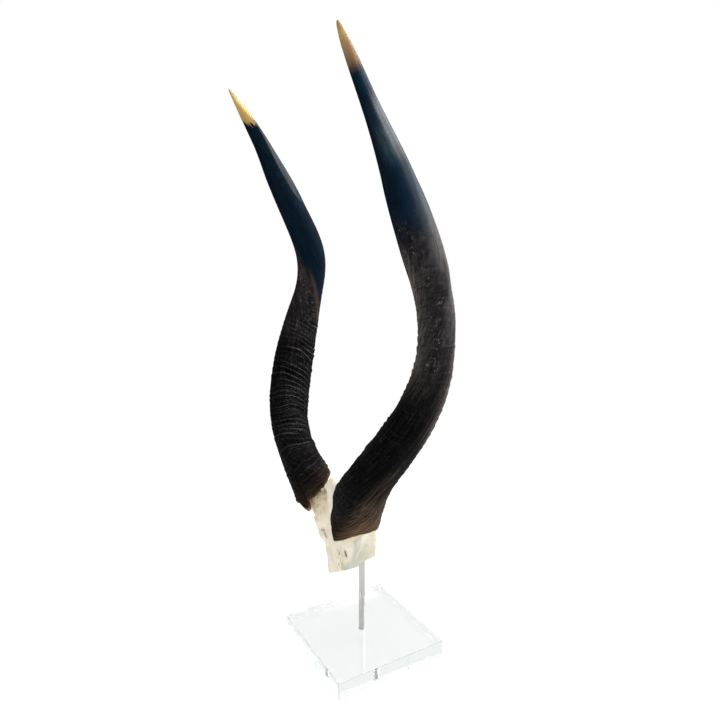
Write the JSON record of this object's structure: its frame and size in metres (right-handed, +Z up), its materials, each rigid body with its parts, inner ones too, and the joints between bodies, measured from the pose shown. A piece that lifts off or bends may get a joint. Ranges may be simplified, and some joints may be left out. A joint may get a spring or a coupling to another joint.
{
  "type": "nyala horns on stand",
  "caption": "Spiral nyala horns on their sawn skull cap, held by a slim steel rod over a clear acrylic block, for display on a shelf or table.",
  "frame": {"origin": "centre of the acrylic block's underside", "axes": "+Z up, the animal looks towards -Y, and its left horn is on +X"},
  "size_m": [0.3504, 0.1831, 0.7076],
  "materials": {
    "clear_acrylic": "clear cast acrylic with polished faces and a small polished bevel",
    "satin_steel": "satin steel rod",
    "dry_bone": "dry cream bone with ochre stains and fine pores",
    "dark_horn": "black brown horn, ringed below and satin smooth above, with an ivory tip"
  },
  "bodies": {
    "root": {"acrylic_base": "clear_acrylic", "support_rod": "satin_steel", "skull_cap": "dry_bone", "horn_left": "dark_horn", "horn_right": "dark_horn"}
  },
  "joints": []
}
